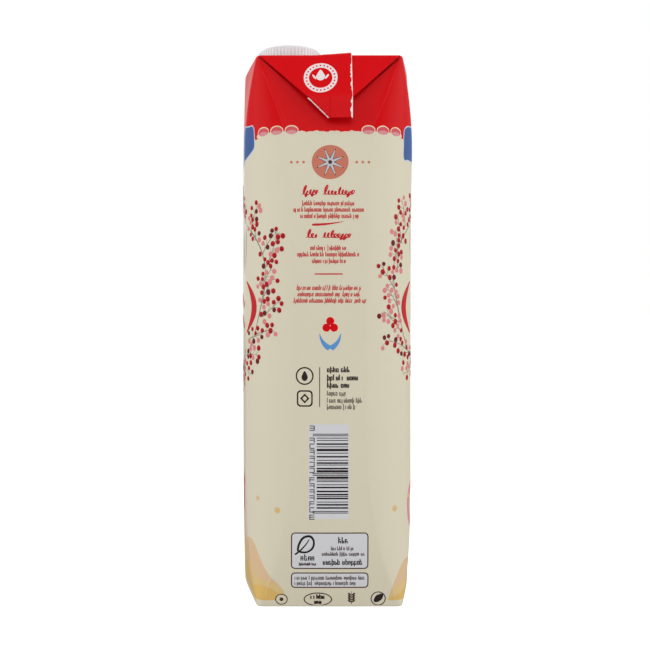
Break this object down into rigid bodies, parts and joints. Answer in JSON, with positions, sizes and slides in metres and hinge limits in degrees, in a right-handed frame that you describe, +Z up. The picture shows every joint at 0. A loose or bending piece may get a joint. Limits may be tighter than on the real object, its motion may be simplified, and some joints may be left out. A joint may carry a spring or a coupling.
{
  "type": "eggnog carton",
  "caption": "Tall drink carton for eggnog: bowed wide panels, leaf-shaped corner facets, ears folded down over the narrow panels and a ribbed screw cap on top.",
  "frame": {"origin": "middle of the base, on the surface that the carton stands on", "axes": "+Z up; a narrow panel with its folded ear faces -Y; the cap stands on the -X half of the top"},
  "size_m": [0.0728, 0.0832, 0.2308],
  "materials": {
    "printed_board": "laminated paperboard, cream print with a red top, satin gloss",
    "closure_plastic": "moulded white polyethylene",
    "cap_plastic": "moulded white polypropylene with fine ribs"
  },
  "bodies": {
    "root": {"carton": "printed_board", "closure_base": "closure_plastic", "screw_cap": "cap_plastic"}
  },
  "joints": []
}
